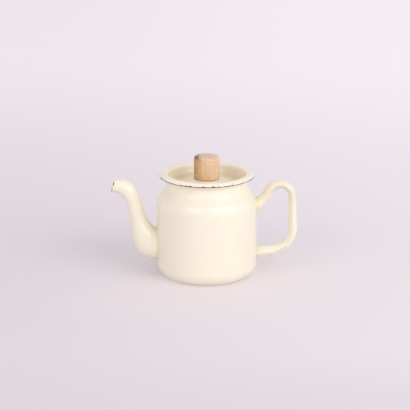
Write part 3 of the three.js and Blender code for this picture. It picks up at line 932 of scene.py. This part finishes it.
# Where the painted shade lies on the knob's left side and the painted light on its right side
LEFT_SHADE_SIZE = 5 * MM
LEFT_SHADE_SWAY = 9 * MM
LEFT_SHADE_X = (7 * MM, 18 * MM)
RIGHT_LIGHT_X = (4 * MM, 11 * MM)
END_GRAIN_Z = (KNOB_TOP - 0.9 * MM, KNOB_TOP - 0.1 * MM)
STAINED_Z = (KNOB_TOP - 2.9 * MM, KNOB_TOP - 1.3 * MM)
STAINED_X = (6.5 * MM, 10 * MM)
# Painted shadow at the knob's foot
FOOT_SHADOW_FADE_Z = (KNOB_FOOT + 0.1 * MM, KNOB_FOOT + 0.9 * MM)

# And for the fastening
TURNING_SIZE = 0.8 * MM
PATCH_SIZE = 2.5 * MM
DUST_SIZE = 1.5 * MM
TURNING_DEPTH = 0.02 * MM

# And for the paper, where FRONT and BEFORE count towards the camera
MOTTLE_SIZE = 120 * MM
FLOOR_ACROSS_X = (-0.35, 0.35)
# Painted shade on the paper towards the front
FLOOR_FRONT_SHADE_Y = (0.19, 0.36)
FLOOR_FAR_Y = (-0.25, 1.15)
# Where the painted light on the paper before the pot lies
BEFORE_POT = (-40 * MM, 10 * MM)
NEAR_POT_LIGHT_FADE_R = (60 * MM, 220 * MM)
CLOSE_POT_LIGHT_FADE_R = (36 * MM, 70 * MM)


def enamel(name, chip=None, tint=None):
    """Glossy cream glass over steel, slightly uneven. tint changes its colour from place to
    place, and chip gives a mask of bare dark steel."""
    paint = Paint(name, {"Specular IOR Level": 0.5})
    place = paint.place()
    cloud = paint.noise(place, CLOUD_SIZE, 3.0, 0.55)
    colour = paint.mix(paint.between(cloud, 0.35, 0.75) * 0.6 + 0.1, CREAM, CREAM_DEEP)
    speck = paint.between(paint.noise(place, SPECK_SIZE, 1.0, 0.4), 0.76, 0.8)
    colour = paint.mix(speck * 0.35, colour, CREAM_DEEP)
    if tint:
        colour = tint(paint, place, colour)
    gloss = paint.noise(place, GLOSS_SIZE, 2.0, 0.5) * 0.05 + 0.06
    peel = paint.noise(place, PEEL_SIZE, 1.0, 0.4)
    if chip:
        mask = chip(paint, place)
        colour = paint.mix(mask, colour, CHIPPED)
        gloss = gloss + mask * 0.75
        paint.bump(peel * 0.2 - mask, CHIP_DEPTH, 0.8)
    else:
        paint.bump(peel, PEEL_DEPTH, 0.5)
    paint.cover(colour, gloss)
    return paint


def corner_tint(paint, place, colour):
    """Darker, yellower glass in the corner where the spout or the handle meets the wall: painted
    shade in the crease, over glass that lies thicker there.
    """
    corner = 1 - paint.between(paint.radius(place), *CORNER_FADE_R)
    return paint.mix(corner * 0.55, colour, CREAM_CORNER_SHADE)


def handle_tint(paint, place, colour):
    """Painted shade over the top of the handle's arch, and the colour in the corners."""
    # Painted shade, darker towards the top of the arch
    arch_shade = paint.between(paint.axis(place, "Z"), *ARCH_SHADE_Z)
    return corner_tint(paint, place, paint.mix(arch_shade * 0.5, colour, CREAM_ARCH_SHADE))


def shell_tint(paint, place, colour):
    """Paler cream over the neck as painted light where the brim shades it, and grey marks on the
    ring the pot stands on.
    """
    z = paint.axis(place, "Z")
    # Painted light on the neck, where the brim shades it
    colour = paint.mix(paint.between(z, *LIT_NECK_Z) * 0.8, colour, CREAM_LIT)
    low = 1 - paint.between(z, *SCUFF_FADE_Z)
    ring = paint.between(paint.radius(place), *SCUFF_R)
    marks = paint.between(paint.noise(place, SCUFF_SIZE, 4.0, 0.7), 0.42, 0.6)
    return paint.mix(low * ring * marks, colour, SCUFFED)


def lid_tint(paint, place, colour):
    """Painted shade in the lid's well, darkest low down and at its sides and paler at its back
    beside the knob as a painted reflection, and painted light on the brim, strongest at its front.
    """
    z = paint.axis(place, "Z")
    inside = 1 - paint.between(paint.radius(place), *WELL_FADE_R)
    side = paint.between(paint.axis(place, "X").math("ABSOLUTE"), *WELL_SIDE_X)
    high = paint.between(z, *WELL_HIGH_Z)
    # Painted shade in the well, with a painted reflection paler at its back beside the knob
    well_shade = inside * (side * 0.4 + 0.6) * (1 - high * 0.7)
    # Painted light on the brim, strongest at its front
    brim_light = paint.between(-paint.axis(place, "Y"), *BRIM_FRONT_LIGHT_Y) * 0.55 + 0.25
    colour = paint.mix(well_shade, paint.mix(brim_light, colour, CREAM_LIT), CREAM_WELL_SHADE)
    # Painted shade, darkest in the trough
    low = 1 - paint.between(z, *TROUGH_FADE_Z)
    return paint.mix(low * well_shade, colour, CREAM_TROUGH_SHADE)


def brim_chips(paint, place):
    """A thin line of bare steel along the brim's edge, with bites and short dashes beside it."""
    start, legs = lid_legs()
    edge_r, edge_z, _, _ = walk(start, 0, legs)[-1]
    out = paint.radius(place) - edge_r
    down = edge_z - paint.axis(place, "Z")
    beyond = out * math.cos(BRIM_TURN) + down * math.sin(BRIM_TURN)
    bite = paint.between(paint.noise(place, BITE_SIZE, 3.0, 0.65), 0.52, 0.7)
    nibble = paint.noise(place, NIBBLE_SIZE, 2.0, 0.6)
    wear = paint.between(paint.noise(place, WEAR_SIZE, 2.0, 0.5), 0.33, 0.42) * 0.45 + 0.55
    depth = bite * BITE_DEPTH + nibble * NIBBLE_DEPTH
    line = paint.between(beyond + depth, *BRIM_BARE) * wear
    dash = paint.between(paint.noise(place, DASH_SIZE, 1.0, 0.5), 0.63, 0.66)
    return line.math("MAXIMUM", dash * paint.band(beyond, *DASH_BAND))


def mouth_chips(paint, place):
    """Bare steel on the spout's mouth edge: one chip below the throat, a line down to the back."""
    centre = spout_ring(1).centre
    away = paint.vector("SUBTRACT", place, tuple(centre))
    along = paint.vector("DOT_PRODUCT", away, tuple(mouth_forward()), "Value")
    z = paint.axis(place, "Z")
    low = 1 - paint.between(z, centre.z - MOUTH_LINE_FULL, centre.z - MOUTH_LINE_GONE)
    chip = paint.band(z, *MOUTH_CHIP_BAND_Z)
    ragged = paint.noise(place, RAGGED_SIZE, 2.0, 0.6)
    depth = low * MOUTH_LINE_DEPTH + chip * MOUTH_CHIP_DEPTH + ragged * RAGGED_DEPTH
    return paint.between(along + depth, *MOUTH_BARE)


def seam_chips(paint, place):
    """Dark dashes where the seam along the handle's side has worn through, on the lower arm."""
    ridge = paint.between(paint.axis(place, "Y").math("ABSOLUTE"), *SEAM_RIDGE_Y)
    low = 1 - paint.between(paint.axis(place, "Z"), *SEAM_FADE_Z)
    heel = paint.between(paint.axis(place, "X"), *SEAM_X)
    broken = paint.between(paint.noise(place, SEAM_BREAK_SIZE, 2.0, 0.6), 0.33, 0.45)
    return ridge * low * heel * broken


def wood_paint():
    """Pale sanded hardwood, its grain upright, with a dark stain on one side of its rim. Its left
    side is painted darker brown as shade, browned by handling too, its right side painted paler as
    light, and its foot painted dark as the shadow where it stands.
    """
    paint = Paint("pale_wood", {"Specular IOR Level": 0.35})
    place = paint.place()
    x = paint.axis(place, "X")
    z = paint.axis(place, "Z")
    upright = paint.stretched(place, (1.0, 1.0, 0.12))
    broad = paint.noise(upright, GRAIN_SIZE, 4.0, 0.6)
    fine = paint.noise(upright, FINE_GRAIN_SIZE, 2.0, 0.6)
    grain = paint.between(broad * 0.55 + fine * 0.45, 0.36, 0.66)
    colour = paint.mix(grain, WOOD, WOOD_GRAIN)
    colour = paint.mix(paint.between(z, *END_GRAIN_Z) * 0.8, colour, WOOD_END)
    # Painted shade: the knob's left side darker brown, browned by handling too
    soft = paint.noise(place, LEFT_SHADE_SIZE, 3.0, 0.6)
    left_shade = paint.between(soft * LEFT_SHADE_SWAY - x, *LEFT_SHADE_X)
    colour = paint.mix(left_shade * 0.8, colour, WOOD_LEFT_SHADE)
    # Painted light: the knob's right side paler
    colour = paint.mix(paint.between(x, *RIGHT_LIGHT_X) * 0.6, colour, WOOD_RIGHT_LIGHT)
    rim = paint.between(z, *STAINED_Z) * paint.between(-x, *STAINED_X)
    stain = paint.between(paint.noise(place, STAIN_SIZE, 3.0, 0.6), 0.38, 0.54)
    colour = paint.mix(rim * stain * 0.9, colour, WOOD_STAIN)
    short = paint.stretched(place, (1.0, 1.0, 0.6))
    pore = paint.between(paint.noise(short, PORE_SIZE, 1.0, 0.4), 0.6, 0.7)
    colour = paint.mix(pore * 0.5, colour, WOOD_PORE)
    # Painted shadow at the knob's foot, where it stands on the lid
    foot = 1 - paint.between(z, *FOOT_SHADOW_FADE_Z)
    colour = paint.mix(foot * 0.75, colour, WOOD_FOOT_SHADOW)
    paint.cover(colour, fine * 0.2 + 0.45)
    paint.bump(fine, GRAIN_DEPTH, 0.4)
    return paint


def metal(name, colour, worn, rough):
    """Turned metal: fine rings about the axis and duller patches."""
    paint = Paint(name, {"Metallic": 1.0})
    place = paint.place()
    rings = paint.noise(paint.stretched(place, (0.15, 0.15, 4.0)), TURNING_SIZE, 2.0, 0.6)
    patch = paint.between(paint.noise(place, PATCH_SIZE, 3.0, 0.6), 0.4, 0.7)
    paint.cover(paint.mix(patch, colour, worn), rings * 0.15 + patch * 0.12 + rough)
    paint.bump(rings, TURNING_DEPTH, 0.5)
    return paint


def silicone():
    """Milky soft rubber with a little dust on it."""
    paint = Paint("silicone", {"Specular IOR Level": 0.4, "Subsurface Weight": 0.3})
    place = paint.place()
    dust = paint.between(paint.noise(place, DUST_SIZE, 3.0, 0.6), 0.5, 0.75)
    paint.cover(paint.mix(dust, SILICONE, SILICONE_DUST), dust * 0.2 + 0.42)
    paint.bump(dust, TURNING_DEPTH, 0.4)
    return paint


def floor_paint():
    """Pale lilac paper, painted darker to the left and towards the front as shade. To the camera
    and in reflections
    it glows a little: far off as a lit backdrop does, and before the pot as painted light that
    lifts the shade round its foot."""
    paint = Paint("paper_floor", {"Roughness": 0.9, "Specular IOR Level": 0.1})
    place = paint.place()
    x = paint.axis(place, "X")
    y = paint.axis(place, "Y")
    out = paint.radius(place)
    # Painted shade: the paper darker to the left and towards the front, over a faint mottle
    across = paint.between(x, *FLOOR_ACROSS_X)
    mottle = paint.noise(place, MOTTLE_SIZE, 3.0, 0.5)
    mottle_and_front_shade = mottle * 0.04 + paint.between(-y, *FLOOR_FRONT_SHADE_Y) * 0.65
    colour = paint.mix(mottle_and_front_shade, paint.mix(across, FLOOR_LEFT_SHADE, FLOOR_RIGHT), FLOOR_MOTTLE_AND_FRONT_SHADE)
    paint.feed(paint.shader.inputs["Base Color"], colour)
    far = paint.between(y, *FLOOR_FAR_Y)
    # Painted light on the paper before the pot, lifting the shade round its foot
    before = paint.between(x * 0.6 - y, *BEFORE_POT)
    near_light = before * (1 - paint.between(out, *NEAR_POT_LIGHT_FADE_R))
    close_light = before * (1 - paint.between(out, *CLOSE_POT_LIGHT_FADE_R))
    glow = paint.mix(near_light, paint.mix(across, BACKDROP_LEFT, BACKDROP_RIGHT), FLOOR_PAINTED_LIGHT)
    light = paint.node("ShaderNodeEmission", None, {"Color": glow, "Strength": 1.0})
    ray = paint.node("ShaderNodeLightPath", output="Is Camera Ray")
    glossy = paint.node("ShaderNodeLightPath", output="Is Glossy Ray")
    share = ray.math("MAXIMUM", glossy) * (far * 0.85 + near_light * 0.16 + close_light * 0.3)
    mixer = paint.node("ShaderNodeMixShader", None, {0: share, 2: light})
    paint.tree.links.new(paint.shader.outputs[0], mixer.socket.node.inputs[1])
    paint.feed(paint.tree.nodes["Material Output"].inputs["Surface"], mixer)
    return paint


def make_world():
    """A bright studio wall all round, brightest at the front on the right, under a dim ceiling."""
    world = bpy.data.worlds.new("studio")
    bpy.context.scene.world = world
    world.use_nodes = True
    sky = Nodes(world.node_tree)
    way = sky.node("ShaderNodeTexCoord", output="Generated")
    facing = sky.vector("DOT_PRODUCT", way, WINDOW_WAY, "Value")
    wall = sky.mix(sky.between(facing, *WINDOW_FACING), WALL_LIGHT, WINDOW_LIGHT)
    high = sky.between(sky.axis(way, "Z"), *CEILING_START)
    sky.feed(sky.tree.nodes["Background"].inputs["Color"], sky.mix(high, wall, CEILING_LIGHT))


make_camera()
make_world()
floor_paint().dress(make_stage())
make_lamp("key", azimuth=44, elevation=31, width=2.4, height=1.35, power=30)
make_lamp("fill", azimuth=-33, elevation=31, width=1.9, height=1.1, power=14)

shell = make_shell()
spout = make_spout(shell)
handle = make_handle(shell)
lid = make_lid()
knob = make_knob()
insert = make_insert()
seal = make_washer("seal", "seal_washer", SEAL_CHAMFER)
washer = make_washer("steel_washer", "screw_washer", WASHER_CHAMFER)
screw = make_screw()

pot_glass = enamel("pot_enamel", tint=shell_tint)
spout_glass = enamel("spout_enamel", mouth_chips, corner_tint)
handle_glass = enamel("handle_enamel", seam_chips, handle_tint)
lid_glass = enamel("lid_enamel", brim_chips, lid_tint)
brass = metal("brass", BRASS, BRASS_WORN, 0.22)
steel = metal("steel", STEEL, STEEL_WORN, 0.24)

for piece, body, nodes, slot, paint in (
    (shell, "pot", ["body_shell"], "enamel", pot_glass),
    (spout, "pot", ["spout_near_half", "spout_far_half"], "enamel", spout_glass),
    (handle, "pot", ["handle_outer_half", "handle_inner_half"], "enamel", handle_glass),
    (lid, "lid", ["lid_dish"], "lid_enamel", lid_glass),
    (knob, "lid", ["knob"], "knob_wood", wood_paint()),
    (insert, "lid", ["knob_insert"], "insert_brass", brass),
    (seal, "lid", ["seal_washer"], "seal_silicone", silicone()),
    (washer, "lid", ["screw_washer"], "fastener_steel", steel),
    (screw, "lid", ["knob_screw"], "fastener_steel", steel),
):
    paint.dress(piece)
    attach(piece, body)
    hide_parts(*nodes)

bpy.context.scene.view_settings.view_transform = "Standard"
